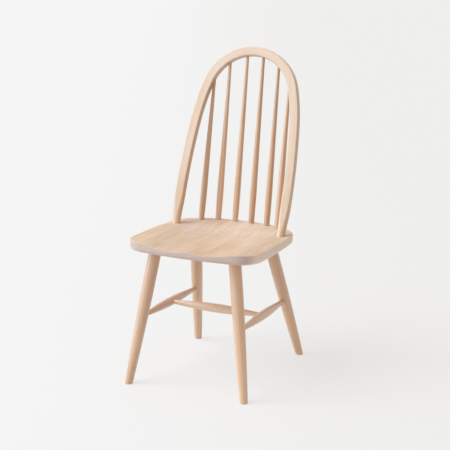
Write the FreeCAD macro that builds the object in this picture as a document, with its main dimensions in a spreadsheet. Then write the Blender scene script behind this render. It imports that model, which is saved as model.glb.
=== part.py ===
"""Hoop-back dining chair in solid wood: a saddled seat, four turned legs tied by an H of
stretchers, and a steam-bent bow that holds six tapered spindles.

The chair stands on z = 0 and faces -Y. The origin lies under the middle of its overall box.
Lengths are in millimetres and angles in degrees. Left and right are as seen from the front.
"""
import FreeCAD, Part
import math
import os
import Sketcher

Vec = FreeCAD.Vector
UP = Vec(0, 0, 1)
ACROSS = Vec(1, 0, 0)
FULL_TURN = 360
SIDES = {-1: "left", 1: "right"}
ENDS = {-1: "front", 1: "rear"}
SPINDLES = ("Inner", "Middle", "Outer")

# Driving dimensions: name, value and what it measures
SIZES = (
    ("SeatHeight", 428.4, "top of the seat's rim, halfway along its depth"),
    ("SeatTiltAngle", 2.8, "angle by which the seat falls to the back"),
    ("SeatDepth", 427.6, "front edge to back edge on the centre line"),
    ("SeatWidth", 419.6, "seat at its widest"),
    ("SeatThickness", 30.5, "rim of the seat"),
    ("SeatWidestForward", 101, "widest place, in front of the seat's middle"),
    ("SeatFrontRadius", 1000, "curve of the front edge"),
    ("SeatFrontCornerRadius", 68, "front corners"),
    ("SeatSideRadius", 2100, "curve of each side"),
    ("SeatRearCornerRadius", 98, "rear corners"),
    ("SeatRearRadius", 330, "curve of the back edge"),
    ("SeatUnderRound", 12, "rounding under the edge"),
    ("SeatArris", 3, "rounding on top of the edge"),
    ("SaddleDepth", 13, "hollow of the seat at its deepest"),
    ("SaddleFrontDepth", 11, "hollow of the seat at its front edge, beside the ridge"),
    ("SaddleSideRim", 51.8, "flat rim beside the hollow, where the seat is widest"),
    ("SaddleRearRim", 61.8, "flat rim behind the hollow, on the centre line"),
    ("SaddleRearSlope", 97, "from that rim forward to where the hollow has its full depth"),
    ("PommelRise", 3.5, "ridge between the two thighs, at the front edge"),
    ("PommelHalfWidth", 42, "that ridge, from the centre line to its foot"),
    ("PommelLength", 190, "that ridge, and the hollow's rise to the front, from the front edge"),
    ("LegFootDiameter", 23, "leg at the floor"),
    ("LegWidestDiameter", 37, "leg at its widest"),
    ("LegWidestBelowSeat", 62, "widest place, down the leg from the seat"),
    ("LegTenonDepth", 18, "tapered tenon in the seat"),
    ("LegTenonEndDiameter", 28, "narrow end of that tenon"),
    ("LegFootArris", 1.2, "bevel round the foot"),
    ("FrontLegSideInset", 81.8, "front leg's joint, in from the seat's widest"),
    ("FrontLegEndInset", 68.8, "front leg's joint, behind the seat's front edge"),
    ("FrontLegSideSplay", 60.3, "front foot, out from its joint"),
    ("FrontLegEndSplay", 68, "front foot, in front of its joint"),
    ("RearLegSideInset", 87.2, "rear leg's joint, in from the seat's widest"),
    ("RearLegEndInset", 98.5, "rear leg's joint, in front of the seat's back edge"),
    ("RearLegSideSplay", 53.1, "rear foot, out from its joint"),
    ("RearLegEndSplay", 121.4, "rear foot, behind its joint"),
    ("StretcherFrontHeight", 205.5, "side stretcher on the front leg's axis"),
    ("StretcherRearHeight", 192.4, "side stretcher on the rear leg's axis"),
    ("SideStretcherDiameter", 26.5, "side stretcher at its middle"),
    ("CrossStretcherDiameter", 27, "cross stretcher at its middle"),
    ("StretcherSwellShare", 0.5, "share of a stretcher's length that is curved, not tapered"),
    ("StretcherTenonDiameter", 12.6, "round tenons of the stretchers"),
    ("BowLeanAngle", 21.9, "angle by which the bow leans back"),
    ("BowFootInset", 133.1, "bow where it enters the seat, in front of the back edge"),
    ("BowRise", 549, "seat to the top of the bow's centre line, along the bow"),
    ("BowTopRadius", 146, "centre line of the top curve"),
    ("BowTopAngle", 74, "turn of the top curve, each side of the centre line"),
    ("BowShoulderRadius", 682, "centre line of each shoulder"),
    ("BowShoulderAngle", 10, "turn of each shoulder"),
    ("BowLegRadius", 2263, "centre line of each side down to the seat"),
    ("BowWidth", 27.5, "bow, seen from the front"),
    ("BowDepth", 22, "bow, front to back"),
    ("BowRound", 3.2, "rounded corners of the bow"),
    ("BowFootDiameter", 25, "bow where it meets the seat"),
    ("BowFootTaper", 95, "length over which the foot grows to the full section"),
    ("BowTenonDepth", 19, "foot of the bow in the seat"),
    ("SpindleFootDiameter", 17.4, "spindle where it enters the seat"),
    ("SpindleSwellDiameter", 19.6, "spindle at its widest"),
    ("SpindleSwellHeight", 97, "widest place above the seat"),
    ("SpindleTopDiameter", 9.4, "spindle where it enters the bow"),
    ("SpindleTenonDepth", 17, "foot of the spindle in the seat"),
    ("InnerSpindleHalfSpan", 27.2, "inner spindle on the seat, from the centre line"),
    ("InnerSpindleInset", 19, "inner spindle on the seat, in front of the back edge"),
    ("InnerSpindleAngle", 10.4, "place of the inner spindle round the bow's top curve"),
    ("MiddleSpindleHalfSpan", 81.7, "middle spindle on the seat, from the centre line"),
    ("MiddleSpindleInset", 25.7, "middle spindle on the seat, in front of the back edge"),
    ("MiddleSpindleAngle", 33.5, "place of the middle spindle round the bow's top curve"),
    ("OuterSpindleHalfSpan", 127.7, "outer spindle on the seat, from the centre line"),
    ("OuterSpindleInset", 51.1, "outer spindle on the seat, in front of the back edge"),
    ("OuterSpindleAngle", 58.6, "place of the outer spindle round the bow's top curve"),
    ("TenonChamfer", 1, "bevel at the end of each tenon"),
    ("FitClearance", 0.15, "gap all round each tenon in its socket"),
    ("GlueSpace", 1, "gap at the bottom of each blind socket"),
    ("ShoulderMargin", 0.6, "straight length of a tenon that stays outside its socket"),
    ("Overrun", 10, "how far cutting shapes reach past what they cut"),
)

doc = FreeCAD.newDocument("Chair")
sheet = doc.addObject("Spreadsheet::Sheet", "Sizes")
for row, (alias, value, meaning) in enumerate(SIZES, start=1):
    sheet.set("A%d" % row, meaning)
    sheet.set("B%d" % row, str(value))
    sheet.setAlias("B%d" % row, alias)
doc.recompute()


def size(alias):
    """The value of one driving dimension."""
    return float(sheet.get(alias))


# The seat's plane and the chair's place over the origin
SEAT_END = size("SeatDepth") / 2
SEAT_SIDE = size("SeatWidth") / 2
BOW_LEAN = math.radians(size("BowLeanAngle"))
BOW_TOP_BACK = (
    SEAT_END
    - size("BowFootInset")
    + (size("BowRise") + size("BowWidth") / 2) * math.sin(BOW_LEAN)
    + size("BowDepth") / 2 * math.cos(BOW_LEAN)
)
FEET_FRONT = (
    SEAT_END
    - size("FrontLegEndInset")
    + size("FrontLegEndSplay")
    + size("LegFootDiameter") / 2
)
SEAT_MIDDLE = (FEET_FRONT - BOW_TOP_BACK) / 2
SEAT_PLACE = FreeCAD.Placement(
    Vec(0, SEAT_MIDDLE, size("SeatHeight")),
    FreeCAD.Rotation(ACROSS, -size("SeatTiltAngle")),
)


def on_seat(across, back, down=0.0):
    """The point of the seat at this distance across, behind its middle and below its rim."""
    return SEAT_PLACE.multVec(Vec(across, back, -down))


def on_floor(across, back):
    """The point of the floor at this distance across and behind the seat's middle."""
    return Vec(across, SEAT_MIDDLE + back, 0)


def along(start, end):
    """The placement at one point whose Z axis points to another."""
    return FreeCAD.Placement(start, FreeCAD.Rotation(UP, end - start))


def steepness(direction, axis):
    """Cosine and sine of the angle between two directions, both positive."""
    cosine = abs(direction.normalize().dot(axis.normalize()))
    return cosine, math.sqrt(1 - cosine ** 2)


def clear_of(radius, tenon_radius, direction, axis):
    """Distance from a round bar's axis at which a slanted tenon has left the bar."""
    cosine, sine = steepness(Vec(direction), Vec(axis))
    return (radius + tenon_radius * cosine) / sine + size("ShoulderMargin")


def origin_plane(body, role):
    """One of a body's own origin planes."""
    return next(plane for plane in body.Origin.OriginFeatures if plane.Role == role)


def new_sketch(body, name, role):
    """An empty sketch on one of a body's origin planes."""
    sketch = body.newObject("Sketcher::SketchObject", name)
    sketch.AttachmentSupport = (origin_plane(body, role), [""])
    sketch.MapMode = "FlatFace"
    return sketch


def bind(sketch, constraint, formula):
    """Add a dimension to a sketch and tie it to a formula of the driving dimensions."""
    number = sketch.addConstraint(constraint)
    sketch.setExpression("Constraints[%d]" % number, formula)


def pin(sketch, edge, end, formula, kind, axis):
    """Hold one coordinate of a point: on the axis, or at the distance that a formula gives."""
    if formula == "0":
        sketch.addConstraint(Sketcher.Constraint("PointOnObject", edge, end, axis))
        return
    distance = sketch.evalExpression(formula)
    bind(sketch, Sketcher.Constraint(kind, -1, 1, edge, end, float(distance)), formula)


def bulging_arc(start, end, radius):
    """The arc between two points of a half-section that bulges away from the axis."""
    chord = end - start
    half = chord.Length / 2
    rise = math.sqrt(radius ** 2 - half ** 2)
    inward = Vec(-chord.y, chord.x, 0).normalize()
    centre = (start + end) / 2 + inward * rise
    low = math.atan2(start.y - centre.y, start.x - centre.x)
    high = math.atan2(end.y - centre.y, end.x - centre.x)
    return Part.ArcOfCircle(Part.Circle(centre, UP, radius), low, high)


def half_section(body, name, corners):
    """A closed sketch in the XZ plane. Each corner has a formula for its distance from the
    axis and one for its height, and may have a third for the radius of the arc that
    leaves it."""
    sketch = new_sketch(body, name, "XZ_Plane")
    places = [
        Vec(float(sketch.evalExpression(out)), float(sketch.evalExpression(up)), 0)
        for out, up, *_ in corners
    ]
    for index, (_, _, *bulge) in enumerate(corners):
        start = places[index]
        end = places[(index + 1) % len(corners)]
        if bulge:
            radius = float(sketch.evalExpression(bulge[0]))
            sketch.addGeometry(bulging_arc(start, end, radius))
        else:
            sketch.addGeometry(Part.LineSegment(start, end))
    for index, (out, up, *bulge) in enumerate(corners):
        before = (index - 1) % len(corners)
        sketch.addConstraint(Sketcher.Constraint("Coincident", before, 2, index, 1))
        pin(sketch, index, 1, out, "DistanceX", -2)
        pin(sketch, index, 1, up, "DistanceY", -1)
        if bulge:
            radius = float(sketch.evalExpression(bulge[0]))
            bind(sketch, Sketcher.Constraint("Radius", index, radius), bulge[0])
    return sketch


def turn(body, corners):
    """Turn a body on its Z axis from a half-section."""
    sketch = half_section(body, body.Name + "Section", corners)
    turning = body.newObject("PartDesign::Revolution", body.Name + "Turning")
    turning.Profile = sketch
    turning.ReferenceAxis = (sketch, ["V_Axis"])
    turning.Angle = FULL_TURN


def own_lengths(piece, **values):
    """A piece's own named lengths, worked out from the places that it joins."""
    lengths = doc.addObject("App::VarSet", piece.Name + "Lengths")
    for name, value in values.items():
        lengths.addProperty("App::PropertyFloat", name, "Lengths")
        setattr(lengths, name, value)
    return lengths.Name + "."


def peg(name, place, radius, length):
    """A round cutting shape along the Z axis of its placement, sized by two formulas."""
    cylinder = doc.addObject("Part::Cylinder", name)
    cylinder.setExpression("Radius", radius)
    cylinder.setExpression("Height", length)
    cylinder.Placement = place
    return cylinder


def cut(name, base, tools):
    """The base with every one of these shapes taken out of it."""
    group = doc.addObject("Part::Compound", name + "Cuts")
    group.Links = tools
    piece = doc.addObject("Part::Cut", name)
    piece.Base = base
    piece.Tool = group
    return piece


# Seat

SADDLE_LINES = 25


def saddle_depth(across, back):
    """Depth of the seat's hollow below the rim at one place on the seat."""
    side = min(abs(across) / (SEAT_SIDE - size("SaddleSideRim")), 1)
    slope = size("SaddleRearSlope")
    rear = min(max((back - SEAT_END + size("SaddleRearRim") + slope) / slope, 0), 1)
    ridge = min(abs(across) / size("PommelHalfWidth"), 1)
    fade = min(max((back + SEAT_END) / size("PommelLength"), 0), 1)
    front = (1 - fade ** 2) ** 2
    deepest = size("SaddleDepth") * (1 - front) + size("SaddleFrontDepth") * front
    hollow = deepest * (1 - side ** 4) ** 2 * (1 - rear ** 2) ** 2
    return hollow - size("PommelRise") * (1 - ridge ** 2) ** 2 * front


def saddle_cutter():
    """What the saddle takes off the top of the plank, as a solid over the curved surface."""
    half_width = SEAT_SIDE + size("Overrun")
    half_depth = SEAT_END + size("Overrun")
    shares = [2 * line / (SADDLE_LINES - 1) - 1 for line in range(SADDLE_LINES)]
    points = [
        [
            Vec(
                across * half_width,
                back * half_depth,
                -saddle_depth(across * half_width, back * half_depth),
            )
            for back in shares
        ]
        for across in shares
    ]
    surface = Part.BSplineSurface()
    surface.interpolate(points)
    height = size("SaddleDepth") + 2 * size("Overrun")
    cutter = doc.addObject("Part::Feature", "SaddleCutter")
    cutter.Shape = surface.toShape().extrude(UP * height)
    cutter.Placement = SEAT_PLACE
    return cutter


def meeting(first, first_radius, second, second_radius):
    """The centre at these distances from two others, left of the line from one to the other."""
    line = second - first
    reach = (first_radius ** 2 - second_radius ** 2 + line.Length ** 2) / (2 * line.Length)
    ahead = Vec(line).normalize()
    left = Vec(-ahead.y, ahead.x, 0)
    return first + ahead * reach + left * math.sqrt(first_radius ** 2 - reach ** 2)


def touching(inner, outer, radius):
    """Where the circle of this radius round the outer centre touches one inside it."""
    return outer + (inner - outer).normalize() * radius


def seat_outline(body):
    """The plank's outline: eight arcs, each tangent to its neighbours."""
    front_radius = size("SeatFrontRadius")
    side_radius = size("SeatSideRadius")
    rear_radius = size("SeatRearRadius")
    front_corner = size("SeatFrontCornerRadius")
    rear_corner = size("SeatRearCornerRadius")
    front = Vec(0, front_radius - SEAT_END, 0)
    rear = Vec(0, SEAT_END - rear_radius, 0)
    side = Vec(SEAT_SIDE - side_radius, -size("SeatWidestForward"), 0)
    front_round = meeting(front, front_radius - front_corner, side, side_radius - front_corner)
    rear_round = meeting(side, side_radius - rear_corner, rear, rear_radius - rear_corner)
    joints = [
        touching(front_round, front, front_radius),
        touching(front_round, side, side_radius),
        touching(rear_round, side, side_radius),
        touching(rear_round, rear, rear_radius),
    ]
    right = [(front_round, front_corner), (side, side_radius), (rear_round, rear_corner)]
    rounds = [(front, front_radius), *right, (rear, rear_radius)]
    rounds += [(Vec(-centre.x, centre.y, 0), radius) for centre, radius in reversed(right)]
    ends = joints + [Vec(-joint.x, joint.y, 0) for joint in reversed(joints)]
    sketch = new_sketch(body, "SeatOutline", "XY_Plane")
    for number, (centre, radius) in enumerate(rounds):
        start = ends[number - 1] - centre
        end = ends[number] - centre
        low = math.atan2(start.y, start.x)
        high = math.atan2(end.y, end.x)
        sketch.addGeometry(Part.ArcOfCircle(Part.Circle(centre, UP, radius), low, high))
    for number in range(len(rounds)):
        following = (number + 1) % len(rounds)
        sketch.addConstraint(Sketcher.Constraint("Tangent", number, 2, following, 1))
    corners = ("FrontCorner", "Side", "RearCorner")
    names = ("Front", *corners, "Rear", *reversed(corners))
    for number, (name, (centre, radius)) in enumerate(zip(names, rounds)):
        bind(sketch, Sketcher.Constraint("Radius", number, radius), "Sizes.Seat%sRadius" % name)
    half = "Sizes.SeatDepth / 2"
    pin(sketch, 0, 3, "0", "DistanceX", -2)
    pin(sketch, 0, 3, "Sizes.SeatFrontRadius - " + half, "DistanceY", -1)
    pin(sketch, 4, 3, "0", "DistanceX", -2)
    pin(sketch, 4, 3, half + " - Sizes.SeatRearRadius", "DistanceY", -1)
    for arc, way in ((2, ""), (6, "-")):
        pin(sketch, arc, 3, way + "(Sizes.SeatWidth / 2 - Sizes.SeatSideRadius)", "DistanceX", -2)
        pin(sketch, arc, 3, "-Sizes.SeatWidestForward", "DistanceY", -1)
    return sketch


def seat_plank():
    """The seat before its saddle and sockets are cut: a thick plank, rounded underneath."""
    plank = doc.addObject("PartDesign::Body", "Plank")
    sketch = seat_outline(plank)
    sketch.setExpression("AttachmentOffset.Base.z", "-Sizes.SeatThickness")
    pad = plank.newObject("PartDesign::Pad", "PlankPad")
    pad.Profile = sketch
    pad.setExpression("Length", "Sizes.SeatThickness + Sizes.Overrun / 2")
    doc.recompute()
    low = -size("SeatThickness") / 2
    edges = [
        "Edge%d" % number
        for number, edge in enumerate(pad.Shape.Edges, start=1)
        if edge.BoundBox.ZMax < low
    ]
    rounding = plank.newObject("PartDesign::Fillet", "PlankRounding")
    rounding.Base = (pad, edges)
    rounding.setExpression("Radius", "Sizes.SeatUnderRound")
    plank.Placement = SEAT_PLACE
    return plank


def seat(sockets):
    """The finished seat, with a socket for each leg, spindle and end of the bow."""
    saddled = doc.addObject("Part::Cut", "SaddledPlank")
    saddled.Base = seat_plank()
    saddled.Tool = saddle_cutter()
    doc.recompute()
    shape = saddled.Shape
    top = max(shape.Faces, key=lambda face: face.CenterOfMass.z)
    rim = [
        number
        for number, edge in enumerate(shape.Edges, start=1)
        if any(edge.isSame(other) for other in top.Edges)
    ]
    eased = doc.addObject("Part::Fillet", "EasedPlank")
    eased.Base = saddled
    eased.Edges = [(number, size("SeatArris"), size("SeatArris")) for number in rim]
    return cut("seat", eased, sockets)


# Legs


def leg_line(side, end):
    """A leg's axis: its point on the floor and its point on the underside of the seat.
    Side is -1 for left and 1 for right, end is -1 for front and 1 for rear."""
    place = ENDS[end].title() + "Leg"
    across = SEAT_SIDE - size(place + "SideInset")
    back = SEAT_END - size(place + "EndInset")
    foot_across = across + size(place + "SideSplay")
    foot_back = back + size(place + "EndSplay")
    foot = on_floor(side * foot_across, end * foot_back)
    return foot, on_seat(side * across, end * back, size("SeatThickness"))


def at_height(start, end, height):
    """The point of a line at one height above the floor."""
    return start + (end - start) * ((height - start.z) / (end.z - start.z))


def leg_radius(length, station):
    """The bulge's radius of a leg of one length, and the leg's own radius at one station."""
    widest = length - size("LegWidestBelowSeat")
    swell = (size("LegWidestDiameter") - size("LegFootDiameter")) / 2
    bulge = (widest ** 2 + swell ** 2) / (2 * swell)
    drop = bulge - math.sqrt(bulge ** 2 - (station - widest) ** 2)
    return bulge, size("LegWidestDiameter") / 2 - drop


# Turns a leg's seam away from its cuts
SEAM_TURN = FreeCAD.Placement(Vec(), FreeCAD.Rotation(UP, 90))


def leg(name, side, end, stretcher_joint, stretcher_far):
    """A turned leg with a socket for its stretcher. Its foot is cut flat on the floor and
    bevelled round. Returns the leg and the socket that it needs in the seat."""
    foot, top = leg_line(side, end)
    length = (top - foot).Length
    bulge, top_radius = leg_radius(length, length)
    end_radius = leg_radius(length, -size("Overrun"))[1]
    title = name.title().replace("_", "")
    blank = doc.addObject("PartDesign::Body", title + "Blank")
    own = own_lengths(
        blank, AxisLength=length, Bulge=bulge, EndRadius=end_radius, TopRadius=top_radius
    )
    axis = own + "AxisLength"
    tenon = axis + " + Sizes.LegTenonDepth"
    turn(
        blank,
        (
            ("0", "-Sizes.Overrun"),
            (own + "EndRadius", "-Sizes.Overrun", own + "Bulge"),
            (own + "TopRadius", axis),
            ("Sizes.LegTenonEndDiameter / 2", tenon + " - Sizes.TenonChamfer"),
            ("Sizes.LegTenonEndDiameter / 2 - Sizes.TenonChamfer", tenon),
            ("0", tenon),
        ),
    )
    blank.Placement = along(foot, top) * SEAM_TURN
    socket = doc.addObject("PartDesign::Body", title + "Socket")
    turn(
        socket,
        (
            ("0", "-Sizes.Overrun"),
            (own + "TopRadius + Sizes.FitClearance", "-Sizes.Overrun"),
            (own + "TopRadius + Sizes.FitClearance", "0"),
            ("Sizes.LegTenonEndDiameter / 2 + Sizes.FitClearance", "Sizes.LegTenonDepth"),
            (
                "Sizes.LegTenonEndDiameter / 2 + Sizes.FitClearance",
                "Sizes.LegTenonDepth + Sizes.GlueSpace",
            ),
            ("0", "Sizes.LegTenonDepth + Sizes.GlueSpace"),
        ),
    )
    socket.Placement = along(top, top + (top - foot))
    stand = doc.addObject("Part::Cone", title + "Stand")
    stand.setExpression("Radius1", "Sizes.LegFootDiameter / 2 - Sizes.LegFootArris")
    stand.setExpression("Height", "Sizes.SeatHeight + Sizes.LegTenonDepth")
    stand.setExpression("Radius2", "Radius1 + Height")
    stand.Placement.Base = foot
    standing = doc.addObject("Part::Common", title + "Standing")
    standing.Base = blank
    standing.Tool = stand
    bore = stretcher_bore(title + "Bore", stretcher_joint, stretcher_far, "LegWidestDiameter")
    piece = cut(name, standing, [bore])
    return piece, socket


# Stretchers


def stretcher_bore(name, joint, far, bar):
    """The blind bore in a bar, from just past its axis towards the stretcher's other end."""
    start = joint + (joint - far).normalize() * size("GlueSpace")
    radius = "Sizes.StretcherTenonDiameter / 2 + Sizes.FitClearance"
    return peg(name, along(start, far), radius, "Sizes.GlueSpace + Sizes." + bar)


def stretcher(name, start, end, start_reach, end_reach, diameter):
    """A turned stretcher between two bars' axes, whose tenons leave the bars at these
    distances. It swells to the diameter named and tapers straight to each tenon."""
    length = (end - start).Length
    middle = (start_reach + length - end_reach) / 2
    half = (length - start_reach - end_reach) / 2
    curved = half * size("StretcherSwellShare")
    swell = (size(diameter) - size("StretcherTenonDiameter")) / 2
    turn_angle = swell / (half - curved / 2)
    body = doc.addObject("PartDesign::Body", name)
    own = own_lengths(
        body,
        AxisLength=length,
        FirstShoulder=start_reach,
        FirstTaperEnd=middle - curved,
        SecondTaperStart=middle + curved,
        SecondShoulder=length - end_reach,
        TaperRadius=size(diameter) / 2 - curved * math.tan(turn_angle / 2),
        Bulge=curved / math.sin(turn_angle),
    )
    tenon = "Sizes.StretcherTenonDiameter / 2"
    turn(
        body,
        (
            ("0", "0"),
            (tenon + " - Sizes.TenonChamfer", "0"),
            (tenon, "Sizes.TenonChamfer"),
            (tenon, own + "FirstShoulder"),
            (own + "TaperRadius", own + "FirstTaperEnd", own + "Bulge"),
            (own + "TaperRadius", own + "SecondTaperStart"),
            (tenon, own + "SecondShoulder"),
            (tenon, own + "AxisLength - Sizes.TenonChamfer"),
            (tenon + " - Sizes.TenonChamfer", own + "AxisLength"),
            ("0", own + "AxisLength"),
        ),
    )
    body.Placement = along(start, end)
    return body


# Bow

FOOT_ROUND_SHARE = 0.98
BOW_TAPER_SHARES = (0, 0.25, 0.5, 0.75, 1)
BOW_PLACE = FreeCAD.Placement(
    on_seat(0, SEAT_END - size("BowFootInset")),
    FreeCAD.Rotation(ACROSS, 90 - size("BowLeanAngle")),
)


def bow_arcs():
    """The right half of the bow's centre line, from the top down: for each arc its centre,
    radius and the turns at which it starts and ends, in the plane of the bow."""
    top_turn = math.radians(size("BowTopAngle"))
    shoulder_turn = top_turn + math.radians(size("BowShoulderAngle"))
    top = Vec(0, size("BowRise") - size("BowTopRadius"), 0)
    outward = Vec(math.sin(top_turn), math.cos(top_turn), 0)
    shoulder = top - outward * (size("BowShoulderRadius") - size("BowTopRadius"))
    outward = Vec(math.sin(shoulder_turn), math.cos(shoulder_turn), 0)
    side = shoulder - outward * (size("BowLegRadius") - size("BowShoulderRadius"))
    foot_turn = math.acos(-side.y / size("BowLegRadius"))
    return (
        (top, size("BowTopRadius"), 0, top_turn),
        (shoulder, size("BowShoulderRadius"), top_turn, shoulder_turn),
        (side, size("BowLegRadius"), shoulder_turn, foot_turn),
    )


def on_arc(centre, radius, angle, side=1):
    """The point of an arc at one turn from the top, on the right or, with -1, the left."""
    return Vec(side * (centre.x + radius * math.sin(angle)), centre.y + radius * math.cos(angle), 0)


def bow_section(centre, radius, angle, side, width, depth, corner):
    """A rounded rectangle square to the bow's centre line."""
    half_width = width / 2
    half_depth = depth / 2
    sharp = corner / math.sqrt(2)
    points = []
    for across, front in ((1, 1), (-1, 1), (-1, -1), (1, -1)):
        inner_x = across * (half_width - corner)
        inner_z = front * (half_depth - corner)
        level = Vec(inner_x, 0, front * half_depth)
        middle = Vec(inner_x + across * sharp, 0, inner_z + front * sharp)
        upright = Vec(across * half_width, 0, inner_z)
        points.append((level, middle, upright) if across == -front else (upright, middle, level))
    edges = []
    for number, (first, middle, last) in enumerate(points):
        edges.append(Part.Arc(first, middle, last).toShape())
        edges.append(Part.LineSegment(last, points[(number + 1) % 4][0]).toShape())
    wire = Part.Wire(edges)
    turn_back = FreeCAD.Rotation(UP, -side * math.degrees(angle) + 90)
    wire.Placement = FreeCAD.Placement(on_arc(centre, radius, angle, side), turn_back)
    return wire


def bow_blank():
    """The bent bow before its sockets are bored, in its own plane."""
    top, shoulder, (centre, radius, leg_start, foot_turn) = bow_arcs()
    width, depth, corner = size("BowWidth"), size("BowDepth"), size("BowRound")
    foot = size("BowFootDiameter")
    taper_turn = foot_turn - size("BowFootTaper") / radius
    half = (top, shoulder, (centre, radius, leg_start, taper_turn))
    bends = [(*bend, -1) for bend in reversed(half)] + [(*bend, 1) for bend in half]
    arcs = []
    for middle, bend_radius, start, end, side in bends:
        turns = (start, (start + end) / 2, end)[::side]
        arcs.append(Part.Arc(*(on_arc(middle, bend_radius, turn, side) for turn in turns)))
    spine = Part.Wire([arc.toShape() for arc in arcs])
    full = bow_section(centre, radius, taper_turn, -1, width, depth, corner)
    pieces = [spine.makePipeShell([full], True, False)]
    for side in (-1, 1):
        sections = []
        for share in BOW_TAPER_SHARES:
            eased = share ** 2 * (3 - 2 * share)
            sections.append(
                bow_section(
                    centre,
                    radius,
                    foot_turn + (taper_turn - foot_turn) * share,
                    side,
                    foot + (width - foot) * eased,
                    foot + (depth - foot) * eased,
                    foot / 2 * FOOT_ROUND_SHARE * (1 - eased) + corner * eased,
                )
            )
        pieces.append(Part.makeLoft(sections, True))
        down = on_arc(Vec(), 1, foot_turn + math.pi / 2, side)
        pieces.append(Part.Face(sections[0]).extrude(down * size("BowTenonDepth")))
    blank = doc.addObject("Part::Feature", "BowBlank")
    blank.Shape = pieces[0].fuse(pieces[1:])
    blank.Placement = BOW_PLACE
    return blank


def bow_seat_socket(side):
    """The socket in the seat for one end of the bow."""
    centre, radius, _, foot_turn = bow_arcs()[-1]
    foot = on_arc(centre, radius, foot_turn, side)
    down = on_arc(Vec(), 1, foot_turn + math.pi / 2, side)
    bottom = foot + down * (size("BowTenonDepth") + size("GlueSpace"))
    place = along(BOW_PLACE.multVec(bottom), BOW_PLACE.multVec(foot))
    radius = "Sizes.BowFootDiameter / 2 + Sizes.FitClearance"
    length = "Sizes.BowTenonDepth + Sizes.GlueSpace + Sizes.Overrun"
    return peg("BowSocket" + SIDES[side].title(), place, radius, length)


# Spindles


def clear_of_curve(radius, direction, along_bow):
    """Distance down a spindle at which all of it has left the inside of the bow's top curve.
    The radius is that of the bow's centre line, where the spindle's axis ends."""
    front = BOW_PLACE.Rotation.multVec(UP)
    flat = math.sqrt(1 - direction.dot(front) ** 2)
    cosine = abs(direction.dot(along_bow)) / flat
    inner = radius - size("BowWidth") / 2
    offset = radius * cosine + size("SpindleTopDiameter") / 2
    chord = radius * math.sqrt(1 - cosine ** 2) - math.sqrt(max(inner ** 2 - offset ** 2, 0))
    return chord / flat + size("ShoulderMargin")


def spindle(name, place, side):
    """A turned spindle, with the sockets that it needs in the seat and in the bow."""
    back = SEAT_END - size(place + "SpindleInset")
    base = on_seat(side * size(place + "SpindleHalfSpan"), back)
    centre, radius, _, _ = bow_arcs()[0]
    angle = math.radians(size(place + "SpindleAngle"))
    top = BOW_PLACE.multVec(on_arc(centre, radius, angle, side))
    along_bow = BOW_PLACE.Rotation.multVec(on_arc(Vec(), 1, angle + math.pi / 2, side))
    direction = (top - base).normalize()
    length = (top - base).Length
    reach = clear_of_curve(radius, direction, along_bow)
    swell = (size("SpindleSwellDiameter") - size("SpindleFootDiameter")) / 2
    bulge = (size("SpindleSwellHeight") ** 2 + swell ** 2) / (2 * swell)
    body = doc.addObject("PartDesign::Body", name)
    own = own_lengths(body, AxisLength=length, TaperEnd=length - reach, Bulge=bulge)
    foot = "Sizes.SpindleFootDiameter / 2"
    tip = "Sizes.SpindleTopDiameter / 2"
    turn(
        body,
        (
            ("0", "-Sizes.SpindleTenonDepth"),
            (foot + " - Sizes.TenonChamfer", "-Sizes.SpindleTenonDepth"),
            (foot, "Sizes.TenonChamfer - Sizes.SpindleTenonDepth"),
            (foot, "0", own + "Bulge"),
            ("Sizes.SpindleSwellDiameter / 2", "Sizes.SpindleSwellHeight"),
            (tip, own + "TaperEnd"),
            (tip, own + "AxisLength - Sizes.TenonChamfer"),
            (tip + " - Sizes.TenonChamfer", own + "AxisLength"),
            ("0", own + "AxisLength"),
        ),
    )
    body.Placement = along(base, top)
    title = name.title().replace("_", "")
    seat_socket = peg(
        title + "SeatSocket",
        along(base - direction * (size("SpindleTenonDepth") + size("GlueSpace")), top),
        foot + " + Sizes.FitClearance",
        "Sizes.SpindleTenonDepth + Sizes.GlueSpace + Sizes.Overrun",
    )
    bow_socket = doc.addObject("PartDesign::Body", title + "BowSocket")
    turn(
        bow_socket,
        (
            ("0", "Sizes.SpindleSwellHeight"),
            ("Sizes.SpindleSwellDiameter / 2 + Sizes.FitClearance", "Sizes.SpindleSwellHeight"),
            (tip + " + Sizes.FitClearance", own + "TaperEnd"),
            (tip + " + Sizes.FitClearance", own + "AxisLength + Sizes.GlueSpace"),
            ("0", own + "AxisLength + Sizes.GlueSpace"),
        ),
    )
    bow_socket.Placement = body.Placement
    return body, seat_socket, bow_socket


# Assembly


def side_stretcher(name, side, front, rear, cross_joint, cross_far):
    """The stretcher between a front leg and a rear leg, bored for the cross stretcher."""
    reaches = []
    for end, joint in ((-1, front), (1, rear)):
        foot, top = leg_line(side, end)
        radius = leg_radius((top - foot).Length, (joint - foot).Length)[1]
        tenon_radius = size("StretcherTenonDiameter") / 2
        reaches.append(clear_of(radius, tenon_radius, rear - front, top - foot))
    title = name.title().replace("_", "")
    blank = stretcher(title + "Blank", front, rear, *reaches, "SideStretcherDiameter")
    bore = stretcher_bore(title + "Bore", cross_joint, cross_far, "SideStretcherDiameter")
    return cut(name, blank, [bore])


pieces = {}
seat_sockets = [bow_seat_socket(side) for side in SIDES]
bow_sockets = []
side_joints = {
    side: (
        at_height(*leg_line(side, -1), size("StretcherFrontHeight")),
        at_height(*leg_line(side, 1), size("StretcherRearHeight")),
    )
    for side in SIDES
}
cross_joints = {side: (front + rear) / 2 for side, (front, rear) in side_joints.items()}

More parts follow.
